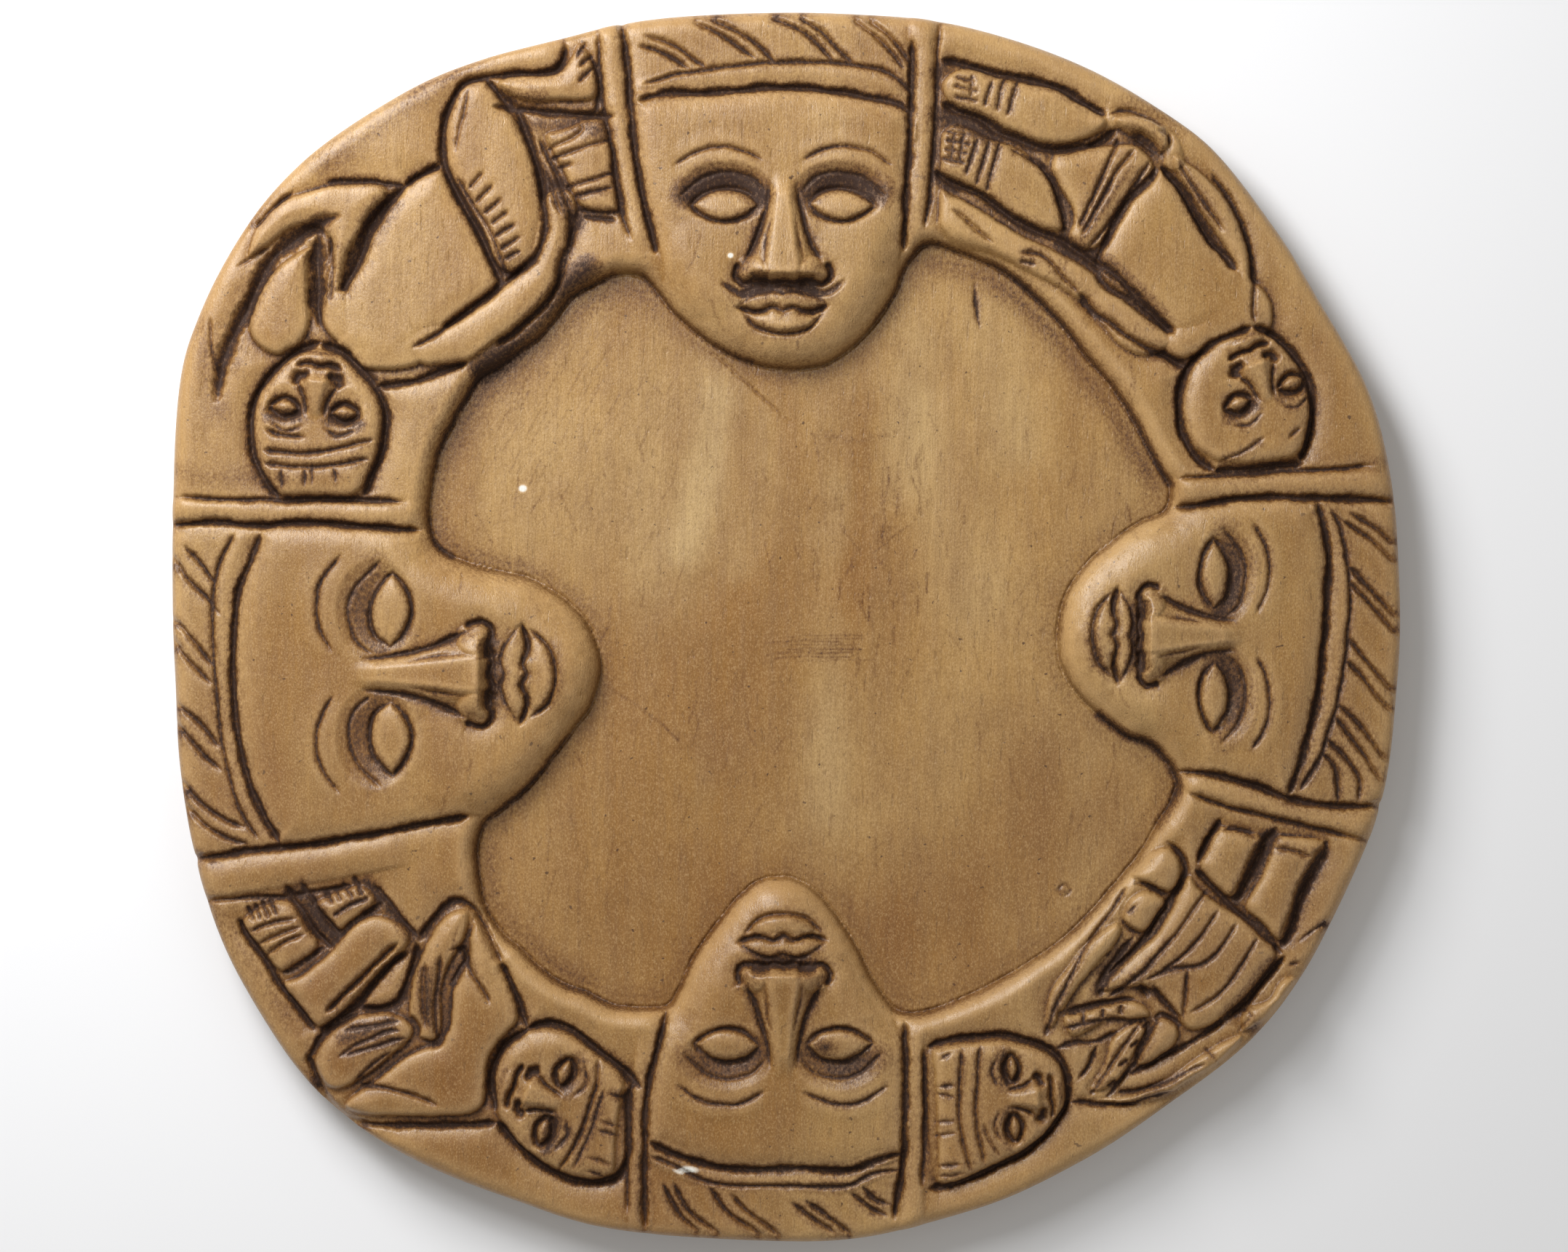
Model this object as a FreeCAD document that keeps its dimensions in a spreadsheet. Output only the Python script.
"""Carved divination tray: one squarish-round board with a sunk floor and a border in low relief.

The border carries a face on each side, with a hatched headband at the rim and a raised bar down
each flank, and a lying figure in each corner. Every carved element stands on the level ground of
the border and is parted from its neighbours by the carver's groove. Millimetres, +Z up, origin
under the middle of the tray, +Y towards the upright face.
"""
import FreeCAD, Part
import math
import os

from FreeCAD import Placement, Rotation, Vector

NOMINAL_TRAY = 400.0

# Driving dimensions in millimetres: alias, value, meaning
SIZES = [
    ("tray_width", 400.0, "left rim to right rim"),
    ("tray_depth", 400.0, "lower rim to upper rim"),
    ("ground_height", 20.0, "underside to the level ground of the border"),
    ("recess_depth", 6.0, "ground of the border down to the floor"),
    ("rim_round", 4.0, "rounding of the upper outer edge"),
    ("foot_round", 3.0, "rounding of the lower outer edge"),
    ("cove_round", 2.5, "hollow where the floor meets its wall"),
    ("groove", 1.6, "width of the grooves that part the elements"),
    ("rim_margin", 5.0, "bare ground between the carving and the rim"),
    ("lip", 1.2, "bare ground between the carving and the recess"),
    ("bar_width", 7.5, "width of a divider bar"),
    ("bar_relief", 2.6, "height of a divider bar over the ground"),
    ("face_relief", 4.5, "height of a face over the ground"),
    ("face_round", 3.0, "rounding of the cheeks and chin"),
    ("band_relief", 3.4, "height of a headband over the ground"),
    ("figure_relief", 3.0, "height of a figure's limbs and body"),
    ("head_relief", 3.8, "height of a figure's head"),
    ("nose_height", 6.2, "nose above the cheeks"),
    ("nose_round", 2.5, "rounding of the nose's upper edges"),
    ("nose_length", 46.0, "bridge to the foot of the nose"),
    ("nose_width", 25.0, "across the nostrils"),
    ("bridge_width", 8.0, "across the bridge of the nose"),
    ("nose_to_chin", 26.0, "foot of the nose to the tip of the chin"),
    ("eye_length", 20.0, "corner to corner"),
    ("eye_height", 9.0, "lid to lid"),
    ("eye_spacing", 38.0, "between the middles of the eyes"),
    ("eye_drop", 8.0, "bridge of the nose down to the eyes"),
    ("eye_relief", 0.9, "eyes above the cheeks"),
    ("lip_length", 28.0, "across the mouth"),
    ("lip_height", 10.0, "upper lip to lower lip"),
    ("mouth_to_chin", 14.0, "middle of the mouth to the tip of the chin"),
    ("lip_relief", 1.0, "lips above the chin"),
    ("hatch_depth", 1.2, "depth of the slanting cuts in a headband"),
    ("hatch_width", 1.4, "width of one slanting cut"),
    ("hatch_pitch", 5.0, "from one cut of a pair to the other"),
    ("hatch_step", 17.0, "from one pair of cuts to the next"),
    ("hatch_slant", 35.0, "degrees from straight across"),
]

# A face in its own frame: x across it, y outwards from the middle of the tray. The first three
# sizes run inwards from the rim: rim to temples, temples to jaw corners, temples to chin tip.
FACES = [
    ("top", 0.0, 32.0, 49.0, 84.0, -42.0, 38.5, -47.5, 40.0),
    ("left", 90.0, 28.0, 66.0, 111.0, -62.5, 31.0, -70.0, 31.5),
    ("bottom", 180.0, 31.0, 45.0, 86.5, -36.5, 39.0, -38.5, 44.5),
    ("right", -90.0, 31.0, 42.0, 80.0, -38.0, 46.0, -39.5, 55.5),
]
FACE_CELLS = [
    "band_depth", "cheek", "length", "jaw_left", "jaw_right", "temple_left", "temple_right"
]
BROW_RISE = 7.0
BAND_PLAIN = 1.0
OUTLINE_STEPS = 720
SHARPEST_CORNER = 0.8
LEVEL_TOLERANCE = 1e-4
RECESS_CHIN_SHARES = (0.96, 0.6, 0.25, -0.25, -0.6, -0.96)
FACE_CHIN_SHARES = (-0.75, -0.4, 0.0, 0.4, 0.75)

# Rim of the board, anticlockwise from the right, on a tray of the nominal size
RIM = [
    (199.9, 4), (198, 42), (190, 76), (173, 107), (159, 130), (137, 157), (104, 179), (74, 191),
    (42, 198), (0, 199.9), (-45, 197.5), (-78, 190), (-110, 181), (-136, 167), (-159, 150),
    (-176, 130), (-191, 102), (-198, 76), (-199.9, 30), (-199.4, -14), (-196, -56), (-186, -97),
    (-167, -133), (-147, -157), (-119, -175), (-88, -187), (-57, -196), (-12, -199.9),
    (25, -199), (64, -189), (97, -174), (127, -154), (151, -135), (168, -114), (185, -81),
    (194, -57), (198.5, -25),
]

# Lobes of the recess, from the left jaw of a face to the right jaw of the next one round. Each
# point is a share of the straight line between the jaws, and a share of it outwards.
LOBES = {
    "top": [(0.115, 0.087), (0.23, 0.14), (0.38, 0.153), (0.52, 0.193), (0.68, 0.22),
            (0.88, 0.178), (1.005, 0.116)],
    "left": [(0.10, 0.03), (0.25, 0.163), (0.46, 0.21), (0.66, 0.195), (0.84, 0.133), (0.93, 0.07)],
    "bottom": [(0.06, 0.067), (0.21, 0.118), (0.47, 0.155), (0.75, 0.119), (0.90, 0.079)],
    "right": [(0.12, 0.058), (0.30, 0.12), (0.50, 0.152), (0.70, 0.173), (0.84, 0.144),
              (0.955, 0.092)],
}

# Elements of the four lying figures on a tray of the nominal size, the uppermost cut first.
# Each is a closed smooth outline. What comes later stays a groove away from what comes before.
FIGURES = {
    "upper_left": {
        "head": [(-131, 66), (-134, 80), (-143, 88), (-152, 90), (-162, 87), (-171, 76), (-174, 63),
                 (-171, 51), (-166, 44), (-153, 42.5), (-140, 43), (-134, 52)],
        "thigh": [(-110, 150), (-110.5, 162), (-107, 173), (-99, 177), (-91, 169), (-85, 159),
                  (-80.5, 146), (-79.5, 130), (-82, 120), (-90, 115), (-99, 129)],
        "foot": [(-93, 177), (-84, 179), (-75, 179.5), (-70, 184), (-67, 189), (-63.5, 184),
                 (-61.5, 172), (-74, 170.5), (-88, 171.5)],
        "hand": [(-77, 160), (-69, 163), (-60, 165), (-57, 155), (-54.5, 144), (-53, 136),
                 (-66, 136), (-70, 142), (-74, 151)],
        "torso": [(-146, 93), (-143, 108), (-136, 123), (-128, 138), (-112, 148), (-103, 133),
                  (-93, 113), (-104, 103), (-118, 91), (-129, 84.5), (-138, 86)],
        "arm": [(-147.5, 98), (-149, 113), (-149, 127), (-158, 130), (-174, 120), (-172, 129),
                (-163, 138), (-149, 142.5), (-130, 142), (-138, 128), (-144, 112)],
        "forearm": [(-154, 122), (-155, 108), (-156, 94), (-165, 88), (-174, 95), (-171, 108),
                    (-163, 118)],
        "sleeve": [(-124, 82), (-108, 93), (-97, 105), (-83, 114), (-75, 126), (-71, 122),
                   (-74, 111), (-86, 98), (-99, 86), (-108, 77)],
    },
    "upper_right": {
        "head": [(170.5, 74), (166, 85), (158, 94), (150, 97), (140, 95), (132, 85), (128.5, 75),
                 (130, 62), (139, 54), (153, 53), (166, 56), (170, 64)],
        "shin": [(52, 178), (60, 181), (70, 178), (84, 175.5), (96, 170), (104, 163), (97, 158),
                 (86, 156.5), (74, 160), (62, 166), (53, 170)],
        "calf": [(50, 155), (54, 163), (65, 159), (75, 155), (83, 149), (88, 139), (89.5, 129),
                 (80, 130), (70, 136), (60, 142), (50, 147)],
        "fist": [(107, 165), (115, 165.5), (121, 163), (124, 158), (122, 153.5), (116, 157),
                 (109, 161)],
        "skirt": [(92, 128), (92, 137), (86, 149), (88, 154), (104, 156), (113, 156), (119, 150),
                  (110, 138), (104, 127), (98, 122)],
        "torso": [(121, 149), (128, 141), (136, 127), (144, 114), (147, 101), (138, 97),
                  (127, 96), (116, 104), (102, 115), (103, 123), (112, 138)],
        "arm": [(127, 152), (135, 147), (143, 138), (149, 126), (151, 112), (150.5, 101),
                (146, 115), (139, 128), (131, 140)],
        "sleeve": [(50, 142), (64, 134.5), (78, 126), (92, 119.5), (104, 111), (116, 101),
                   (125, 92), (118, 88), (104, 96), (92, 108), (79, 115), (64, 122), (51, 128)],
    },
    "lower_left": {
        "head": [(-84, -131), (-74, -131), (-62, -138), (-53, -145), (-52, -160), (-53, -175),
                 (-62, -179.5), (-75, -176), (-88, -167), (-94, -156), (-94, -144), (-91, -136)],
        "thigh": [(-162, -115), (-148, -105), (-131, -94), (-122, -101), (-127, -108),
                  (-138, -119), (-151, -130), (-157, -125)],
        "shin": [(-176, -95), (-168, -90), (-160, -89.5), (-154, -98), (-152, -103),
                 (-158, -110), (-163, -112), (-171, -104)],
        "calf": [(-153, -90), (-145, -85.5), (-137, -84.5), (-133, -89), (-139, -94),
                 (-145, -98.5), (-149, -95)],
        "hand": [(-153, -140), (-147, -131), (-139, -126.5), (-127, -126), (-121, -131),
                 (-126, -138), (-138, -147), (-147, -150)],
        "arm": [(-119, -108), (-114, -98), (-108, -92.5), (-104, -92), (-104, -100), (-109, -109),
                (-112, -122), (-114, -134), (-119, -133), (-122, -121)],
        "torso": [(-101, -95), (-95, -103), (-91, -113), (-87, -127), (-96, -140), (-99, -156),
                  (-113, -159), (-130, -159), (-143, -156), (-133, -147), (-120, -138),
                  (-110, -132), (-108, -118), (-103, -106)],
    },
    "lower_right": {
        "head": [(49, -137), (60, -135), (76, -135.5), (86, -138.5), (91, -149), (88, -160),
                 (77, -170), (63, -177), (50, -180.5), (47.5, -160)],
        "foot": [(142, -65), (149, -66.5), (154.5, -68.5), (151, -79), (145, -88), (139, -84),
                 (134.5, -77.5), (137, -71)],
        "heel": [(161, -68), (168, -68.5), (175, -70), (169, -83), (165, -94), (160.5, -102),
                 (155, -97), (149.5, -92), (154, -81)],
        "shoulder": [(112, -80), (117, -75), (123, -72), (128, -78), (124.5, -86), (118, -83.5)],
        "cuff": [(114, -86.5), (118, -86), (123, -89.5), (120, -95), (116, -99), (109.5, -95)],
        "skirt": [(132, -82), (144, -92), (159, -106), (154, -115), (144, -125), (131, -131),
                  (124, -123), (115, -117), (102, -118), (112, -107), (123, -95)],
        "collar": [(91, -126), (101, -124), (114, -122), (118, -125.5), (104, -128.5), (91, -131)],
        "sash": [(112, -129), (117, -128), (113, -138), (107, -148), (99, -151), (103, -143)],
        "chest": [(120, -127), (127, -131), (126, -136), (114, -142), (116, -134)],
        "forearm": [(95, -153), (112, -152), (127, -145), (139, -136.5), (148, -133),
                    (141, -141), (129, -149), (113, -155)],
        "hand": [(148, -130), (150, -124), (157, -121), (161, -115), (165, -114), (159, -124),
                 (153, -130)],
        "sleeve": [(109, -97), (107, -103), (98, -113), (92, -121), (85, -130.5), (85, -122),
                   (92, -110), (101, -100)],
    },
}

doc = FreeCAD.newDocument("divination_tray")
sheet = doc.addObject("Spreadsheet::Sheet", "sizes")
subparts = []


def fill_sheet():
    """One row per driving dimension, then seven rows per face."""
    rows = list(SIZES)
    for side, _turn, *places in FACES:
        rows += [(f"{side}_{what}", value, f"{side} face") for what, value in zip(FACE_CELLS, places)]
    for row, (alias, value, meaning) in enumerate(rows, start=1):
        sheet.set(f"A{row}", meaning)
        sheet.set(f"B{row}", str(value))
        sheet.setAlias(f"B{row}", alias)
    doc.recompute()


def size(alias):
    return float(sheet.get(alias))


def to_tray(points):
    """Stretches an outline of the nominal tray to the tray's own width and depth."""
    wide, deep = size("tray_width") / NOMINAL_TRAY, size("tray_depth") / NOMINAL_TRAY
    return [Vector(x * wide, y * deep, 0) for x, y in points]


def turned(points, degrees):
    spin = Rotation(Vector(0, 0, 1), degrees)
    return [spin.multVec(point) for point in points]


def grown(points, distance):
    """Moves each point of a closed outline outwards; a negative distance moves it inwards."""
    area = sum(a.x * b.y - b.x * a.y for a, b in zip(points, points[1:] + points[:1]))
    outwards = math.copysign(distance, area)
    moved = []
    for before, here, after in zip(points[-1:] + points[:-1], points, points[1:] + points[:1]):
        first = (here - before).normalize()
        second = (after - here).normalize()
        along = first + second
        normal = Vector(along.y, -along.x, 0)
        reach = max(normal.dot(Vector(first.y, -first.x, 0)), SHARPEST_CORNER)
        moved.append(here + normal * (outwards / reach))
    return moved


def closed_curve(points):
    curve = Part.BSplineCurve()
    curve.interpolate(Points=points, PeriodicFlag=True)
    return curve


def open_curve(points):
    curve = Part.BSplineCurve()
    curve.interpolate(Points=points)
    return curve


def patch(points, smooth=True):
    """A flat face inside a closed outline, curved or straight-sided."""
    if smooth:
        return Part.Face(Part.Wire([closed_curve(points).toShape()]))
    return Part.Face(Part.makePolygon(points + points[:1]))


def reach_of(outline, degrees, across):
    """How far an outline lies from the middle of the tray, on one side's frame, at one place."""
    local = turned(outline, -degrees)
    curve = closed_curve(local)
    places = [place for place in curve.discretize(OUTLINE_STEPS) if place.y > 0]
    return min(places, key=lambda place: abs(place.x - across)).y


def face_places(side):
    """Distances of a face's temples, jaw corners and chin tip from the middle of the tray."""
    across = "tray_depth" if side in ("top", "bottom") else "tray_width"
    temple = size(across) / 2 - size(f"{side}_band_depth")
    return temple, temple - size(f"{side}_cheek"), temple - size(f"{side}_length")


def face_corners(side):
    """Jaw and temple corners of a face in its own frame."""
    temple, jaw, _chin = face_places(side)
    return (
        Vector(size(f"{side}_jaw_left"), jaw, 0),
        Vector(size(f"{side}_jaw_right"), jaw, 0),
        Vector(size(f"{side}_temple_left"), temple, 0),
        Vector(size(f"{side}_temple_right"), temple, 0),
    )


def chin_points(side, shares, lip=0.0):
    """Points of a chin's parabola; a share is 1 at the right jaw and -1 at the left jaw."""
    jaw_left, jaw_right, _, _ = face_corners(side)
    chin = face_places(side)[2] + lip
    middle, half = (jaw_left + jaw_right) / 2, (jaw_right - jaw_left) / 2
    drop = Vector(0, jaw_left.y - chin, 0)
    return [middle + half * share - drop * (1 - share**2) for share in shares]


def recess_outline():
    """The chins stand into the floor, and a lobe swings between each chin and the next."""
    outline = []
    for number, (side, turn, *_) in enumerate(FACES):
        outline += turned(chin_points(side, RECESS_CHIN_SHARES), turn)
        next_side, next_turn, *_ = FACES[(number + 1) % len(FACES)]
        start = turned(face_corners(side)[:1], turn)[0]
        end = turned(face_corners(next_side)[1:2], next_turn)[0]
        chord = end - start
        outwards = Vector(chord.y, -chord.x, 0)
        outline += [start + chord * along + outwards * swell for along, swell in LOBES[side]]
    return outline


def new_body(label, turn=0.0, height=None):
    body = doc.addObject("PartDesign::Body", label)
    body.Label = label
    body.Placement = Placement(Vector(), Rotation(Vector(0, 0, 1), turn))
    if height:
        body.setExpression("Placement.Base.z", height)
    subparts.append(body)
    return body


def new_sketch(body, name, curves, height=None):
    """A sketch on the body's own level plane, raised to a height of the sheet."""
    sketch = body.newObject("Sketcher::SketchObject", f"{body.Name}_{name}")
    plane = next(part for part in body.Origin.OriginFeatures if part.Role == "XY_Plane")
    sketch.AttachmentSupport = [(plane, "")]
    sketch.MapMode = "FlatFace"
    if height:
        sketch.setExpression("AttachmentOffset.Base.z", height)
    for curve in curves:
        sketch.addGeometry(curve, False)
    return sketch


def pad(body, sketch, length):
    feature = body.newObject("PartDesign::Pad", f"{sketch.Name}_pad")
    feature.Profile = sketch
    feature.setExpression("Length", length)
    body.Tip = feature
    doc.recompute()
    return feature


def pocket(body, sketch, depth):
    """Cuts down from the sketch, and makes sure that something was cut."""
    before = body.Shape.Volume
    feature = body.newObject("PartDesign::Pocket", f"{sketch.Name}_pocket")
    feature.Profile = sketch
    feature.setExpression("Length", depth)
    body.Tip = feature
    doc.recompute()
    if body.Shape.Volume >= before:
        raise RuntimeError(f"{feature.Name} cuts nothing")
    return feature


def level_edges(shape, height, keep=lambda edge: True):
    """Names of the edges that lie level at one height."""
    names = []
    for number, edge in enumerate(shape.Edges, start=1):
        box = edge.BoundBox
        level = max(abs(box.ZMin - height), abs(box.ZMax - height)) < LEVEL_TOLERANCE
        if level and keep(edge):
            names.append(f"Edge{number}")
    return names


def round_edges(body, name, edges, radius):
    base = body.Tip
    feature = body.newObject("PartDesign::Fillet", f"{body.Name}_{name}")
    feature.Base = (base, edges)
    feature.setExpression("Radius", radius)
    body.Tip = feature
    doc.recompute()
    return feature


def loop(points):
    """Straight edges round a closed outline."""
    return [Part.LineSegment(a, b) for a, b in zip(points, points[1:] + points[:1])]


def make_board(rim, recess):
    body = new_body("board")
    pad(body, new_sketch(body, "rim", [closed_curve(rim)]), "sizes.ground_height")
    floor = new_sketch(body, "recess", [closed_curve(recess)], "sizes.ground_height")
    pocket(body, floor, "sizes.recess_depth")
    ground = size("ground_height")
    outer = size("tray_width") * 2
    top = level_edges(body.Tip.Shape, ground, lambda edge: edge.Length > outer)
    top.sort(key=lambda name: body.Tip.Shape.getElement(name).Length)
    round_edges(body, "rim_edge", top[-1:], "sizes.rim_round")
    round_edges(body, "foot_edge", level_edges(body.Tip.Shape, 0.0), "sizes.foot_round")
    floor_height = ground - size("recess_depth")
    round_edges(body, "cove", level_edges(body.Tip.Shape, floor_height), "sizes.cove_round")


def brow_arc(left, right, rise):
    middle = (left + right) / 2 + Vector(0, rise, 0)
    return Part.Arc(left, middle, right)


def make_face(side, turn):
    """A cheek and chin plate with a wedge nose, two eyes and two lips standing on it."""
    jaw_left, jaw_right, temple_left, temple_right = face_corners(side)
    chin_tip = face_places(side)[2]
    middle = (jaw_left.x + jaw_right.x) / 2
    chin = [jaw_left, *chin_points(side, FACE_CHIN_SHARES, size("lip")), jaw_right]
    outline = [
        open_curve(chin),
        Part.LineSegment(jaw_right, temple_right),
        brow_arc(temple_right, temple_left, BROW_RISE),
        Part.LineSegment(temple_left, jaw_left),
    ]
    body = new_body(f"face_{side}", turn, "sizes.ground_height")
    pad(body, new_sketch(body, "cheeks", outline), "sizes.face_relief")
    top = level_edges(body.Tip.Shape, size("face_relief"))
    round_edges(body, "cheek_edge", top, "sizes.face_round")

    foot = chin_tip + size("nose_to_chin")
    bridge = foot + size("nose_length")
    wide, narrow = size("nose_width") / 2, size("bridge_width") / 2
    nose = [
        Vector(middle - narrow, bridge, 0),
        Vector(middle - wide, foot, 0),
        Vector(middle + wide, foot, 0),
        Vector(middle + narrow, bridge, 0),
    ]
    pad(body, new_sketch(body, "nose", loop(nose), "sizes.face_relief"), "sizes.nose_height")
    top = level_edges(body.Tip.Shape, size("face_relief") + size("nose_height"))
    round_edges(body, "nose_edge", top, "sizes.nose_round")
    for name, direction in (("left", -1), ("right", 1)):
        centre = Vector(middle + direction * size("eye_spacing") / 2, bridge - size("eye_drop"), 0)
        eye = Part.Ellipse(centre, size("eye_length") / 2, size("eye_height") / 2)
        sketch = new_sketch(body, f"{name}_eye", [eye], "sizes.face_relief")
        pad(body, sketch, "sizes.eye_relief")
    centre = Vector(middle, chin_tip + size("mouth_to_chin"), 0)
    mouth = Part.Ellipse(centre, size("lip_length") / 2, size("lip_height") / 2)
    pad(body, new_sketch(body, "mouth", [mouth], "sizes.face_relief"), "sizes.lip_relief")


def band_outline(side, turn, rim):
    """Corners of a headband: beside the temples at the brow, and just inside the rim."""
    _, _, temple_left, temple_right = face_corners(side)
    gap = Vector(0, size("groove"), 0)
    outer_left = reach_of(rim, turn, temple_left.x) - size("rim_margin")
    outer_right = reach_of(rim, turn, temple_right.x) - size("rim_margin")
    return (
        temple_left + gap,
        temple_right + gap,
        Vector(temple_right.x, outer_right, 0),
        Vector(temple_left.x, outer_left, 0),
    )


def make_headband(side, turn, rim):
    """A band over the brow, cut with slanting grooves in pairs."""
    inner_left, inner_right, outer_right, outer_left = band_outline(side, turn, rim)
    crown_middle = (outer_left.x + outer_right.x) / 2
    crown = Vector(crown_middle, reach_of(rim, turn, crown_middle) - size("rim_margin"), 0)
    outline = [
        brow_arc(inner_left, inner_right, BROW_RISE),
        Part.LineSegment(inner_right, outer_right),
        Part.Arc(outer_right, crown, outer_left),
        Part.LineSegment(outer_left, inner_left),
    ]
    body = new_body(f"headband_{side}", turn, "sizes.ground_height")
    pad(body, new_sketch(body, "band", outline), "sizes.band_relief")

    brow = (inner_left.y + inner_right.y) / 2 + BROW_RISE
    low, high = brow + BAND_PLAIN, crown.y - BAND_PLAIN
    lean = (high - low) * math.tan(math.radians(size("hatch_slant")))
    half_cut = size("hatch_width") / 2
    cuts = []
    across = inner_left.x + size("hatch_step") / 2
    while across + lean + size("hatch_pitch") < inner_right.x:
        for start in (across, across + size("hatch_pitch")):
            cuts += loop([
                Vector(start + lean - half_cut, low, 0),
                Vector(start + lean + half_cut, low, 0),
                Vector(start + half_cut, high, 0),
                Vector(start - half_cut, high, 0),
            ])
        across += size("hatch_step")
    pocket(body, new_sketch(body, "hatching", cuts, "sizes.band_relief"), "sizes.hatch_depth")


def bar_corners(side, turn, flank, rim, recess):
    """A bar beside one flank of a face: from the recess past the temple to the rim.

    It keeps a groove away from the face. The first three corners lie along the face.
    """
    jaw_left, jaw_right, temple_left, temple_right = face_corners(side)
    jaw, temple = (jaw_left, temple_left) if flank < 0 else (jaw_right, temple_right)
    edges = []
    for away in (size("groove"), size("groove") + size("bar_width")):
        at_jaw, at_temple = jaw.x + flank * away, temple.x + flank * away
        edges.append([
            Vector(at_jaw, reach_of(recess, turn, at_jaw) + size("lip"), 0),
            Vector(at_temple, temple.y, 0),
            Vector(at_temple, reach_of(rim, turn, at_temple) - size("rim_margin"), 0),
        ])
    near, far = edges
    return near + far[::-1]


def make_bar(label, corners, turn):
    body = new_body(label, turn, "sizes.ground_height")
    pad(body, new_sketch(body, "bar", loop(corners)), "sizes.bar_relief")


def make_figure(corner, pieces, field):
    """Cuts one figure out of the free field of its corner, piece by piece, and raises it."""
    for name, points in pieces.items():
        outline = to_tray(points)
        flat = patch(outline).common(field)
        largest = max(flat.Faces, key=lambda face: face.Area)
        raised = "head_relief" if name == "head" else "figure_relief"
        piece = doc.addObject("Part::Feature", f"{corner}_{name}")
        piece.Label = f"{corner}_{name}"
        piece.Shape = largest.extrude(Vector(0, 0, size(raised)))
        piece.Placement = Placement(Vector(0, 0, size("ground_height")), Rotation())
        subparts.append(piece)
        field = field.cut(patch(grown(outline, size("groove"))))
    return field


def make_tray():
    rim = to_tray(RIM)
    recess = recess_outline()
    make_board(rim, recess)
    field = patch(grown(rim, -size("rim_margin"))).cut(patch(grown(recess, size("lip"))))
    for side, turn, *_ in FACES:
        make_face(side, turn)
        make_headband(side, turn, rim)
        bars = []
        for flank, hand in ((-1, "left"), (1, "right")):
            corners = bar_corners(side, turn, flank, rim, recess)
            make_bar(f"bar_{side}_{hand}", corners, turn)
            bars.append(corners)
        beyond = Vector(0, size("tray_width") + size("tray_depth"), 0)
        left_far, right_far = bars[0][3:], bars[1][:2:-1]
        panel = [left_far[0] + beyond, *left_far, Vector(), *right_far, right_far[-1] + beyond]
        field = field.cut(patch(turned(grown(panel, size("groove")), turn), smooth=False))
    for corner, pieces in FIGURES.items():
        field = make_figure(corner, pieces, field)


def check_and_write():
    doc.recompute()
    for thing in doc.Objects:
        if "Invalid" in thing.State or "Error" in thing.State:
            raise RuntimeError(f"{thing.Name} failed: {thing.State}")
    os.makedirs("parts", exist_ok=True)
    for subpart in subparts:
        shape = subpart.Shape
        if shape.isNull() or not shape.isValid() or not shape.Solids:
            raise RuntimeError(f"{subpart.Label} has no sound solid")
        shape.exportStep(f"parts/{subpart.Label}.step")
        print(f"{subpart.Label}: {len(shape.Solids)} solid, {shape.Volume / 1000:.2f} cm3")
    print(len(subparts), "sub-parts")


fill_sheet()
make_tray()
check_and_write()
